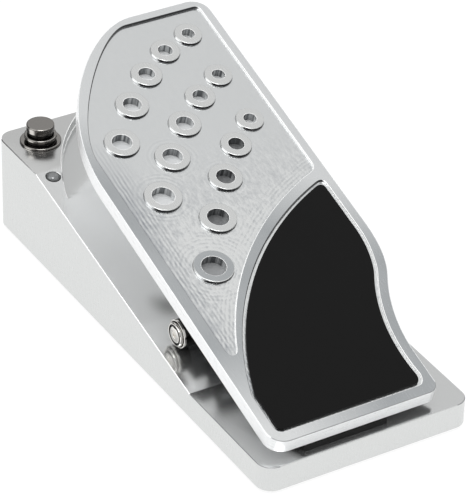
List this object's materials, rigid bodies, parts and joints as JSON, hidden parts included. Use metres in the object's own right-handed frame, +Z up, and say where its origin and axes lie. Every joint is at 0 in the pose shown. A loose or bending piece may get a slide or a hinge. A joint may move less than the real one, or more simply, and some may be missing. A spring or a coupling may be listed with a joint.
{
  "type": "volume pedal",
  "caption": "Foot-operated volume pedal: wedge-shaped metal base, rocking foot-shaped treadle with raised rings and a black inlay, and a toe footswitch.",
  "frame": {"origin": "on the resting surface, under the middle of the whole pedal's box", "axes": "+Y from heel to toe, +X to the player's right, +Z up"},
  "size_m": [0.0848, 0.1966, 0.0745],
  "materials": {
    "polished_aluminium": "mirror polished deck, satin side walls",
    "satin_aluminium": "satin milled aluminium with tool marks",
    "black_inlay": "smooth black, semi gloss",
    "black_aluminium": "black anodised, satin",
    "bronze": "sintered bronze, satin",
    "black_rubber": "matte",
    "dark_nickel": "polished dark nickel plating",
    "bright_nickel": "polished nickel plating",
    "black_plastic": "moulded, matte",
    "white_nylon": "moulded nylon, matte",
    "green_board": "glass fibre board with green coating",
    "lamp_lens": "smoked grey lens, unlit",
    "zinc_steel": "zinc plated, satin"
  },
  "bodies": {
    "base": {"base_housing": "polished_aluminium", "bottom_cover": "zinc_steel", "cover_screw_1": "zinc_steel", "cover_screw_2": "zinc_steel", "cover_screw_3": "zinc_steel", "cover_screw_4": "zinc_steel", "rubber_foot_1": "black_rubber", "rubber_foot_2": "black_rubber", "rubber_foot_3": "black_rubber", "rubber_foot_4": "black_rubber", "heel_stop_pad": "black_rubber", "toe_stop_pad": "black_rubber", "pivot_block_left": "black_aluminium", "block_screw_left": "zinc_steel", "pivot_bushing_left": "bronze", "pivot_block_right": "black_aluminium", "block_screw_right": "zinc_steel", "pivot_bushing_right": "bronze", "potentiometer": "black_plastic", "pot_nut": "bright_nickel", "pot_bracket": "zinc_steel", "bracket_screw": "zinc_steel", "circuit_board": "green_board", "board_standoff_1": "white_nylon", "board_standoff_2": "white_nylon", "input_jack": "black_plastic", "input_jack_washer": "bright_nickel", "input_jack_nut": "bright_nickel", "output_jack": "black_plastic", "output_jack_washer": "bright_nickel", "output_jack_nut": "bright_nickel", "power_inlet": "black_plastic", "power_inlet_nut": "bright_nickel", "footswitch_body": "dark_nickel", "footswitch_nut": "bright_nickel", "footswitch_flange": "dark_nickel", "footswitch_spring": "zinc_steel", "status_lamp": "lamp_lens"},
    "treadle": {"treadle_plate": "satin_aluminium", "treadle_inlay": "black_inlay", "pivot_lug_left": "black_aluminium", "lug_screw_left_1": "zinc_steel", "lug_screw_left_2": "zinc_steel", "pivot_lug_right": "black_aluminium", "lug_screw_right_1": "zinc_steel", "lug_screw_right_2": "zinc_steel", "pivot_axle": "zinc_steel", "axle_collar_left": "bright_nickel", "axle_end_screw_left": "bright_nickel", "axle_spacer_left": "black_plastic", "axle_collar_right": "bright_nickel", "axle_end_screw_right": "bright_nickel", "axle_spacer_right": "black_plastic", "gear_sector": "bronze"},
    "pot_rotor": {"pot_pinion": "white_nylon", "pot_shaft": "zinc_steel"},
    "switch_plunger": {"footswitch_button": "dark_nickel"}
  },
  "joints": [
    {"name": "treadle_pivot", "type": "hinge", "parent": "base", "child": "treadle", "pos_m": [-0.00145, -0.02965, 0.0223], "axis": [1, 0, 0], "range_deg": [-14.7, 0]},
    {"name": "pot_spin", "type": "hinge", "parent": "base", "child": "pot_rotor", "pos_m": [-0.00145, 0.01302, 0.01554], "axis": [1, 0, 0], "range_deg": [0, 117.6]},
    {"name": "switch_press", "type": "slide", "parent": "base", "child": "switch_plunger", "axis": [0, 0, -1], "range_m": [0, 0.0015], "stiffness_N_per_m": 900, "springref_m": -0.003, "deforming": ["footswitch_spring"]}
  ],
  "couplings": [
    {"joint": "pot_spin", "follows": "treadle_pivot", "ratio": -8}
  ]
}
